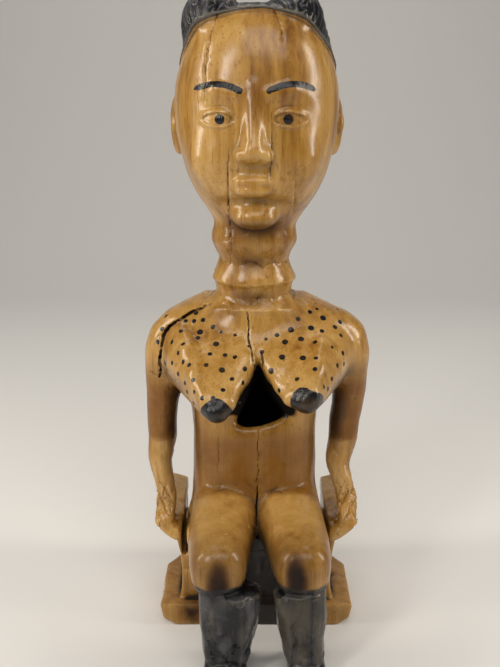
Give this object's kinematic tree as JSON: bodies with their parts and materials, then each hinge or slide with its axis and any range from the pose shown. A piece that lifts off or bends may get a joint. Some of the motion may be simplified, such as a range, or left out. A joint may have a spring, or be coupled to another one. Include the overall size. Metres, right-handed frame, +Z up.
{
  "type": "twin figure",
  "caption": "Carved wooden seated female figure with a ringed neck, hands resting on the ends of its stool, cut with the stool from one block.",
  "frame": {"origin": "middle of the footprint box, on the ground that the stool and the feet stand on", "axes": "+Z up, X across the figure, the figure faces -Y"},
  "size_m": [0.1422, 0.1628, 0.3877],
  "materials": {
    "varnished_wood": "hand carved, semi-gloss honey-brown patina, with grey-black paint on hair and boots and small blue-black dots"
  },
  "bodies": {
    "root": {"seated_twin_figure": "varnished_wood"}
  },
  "joints": []
}
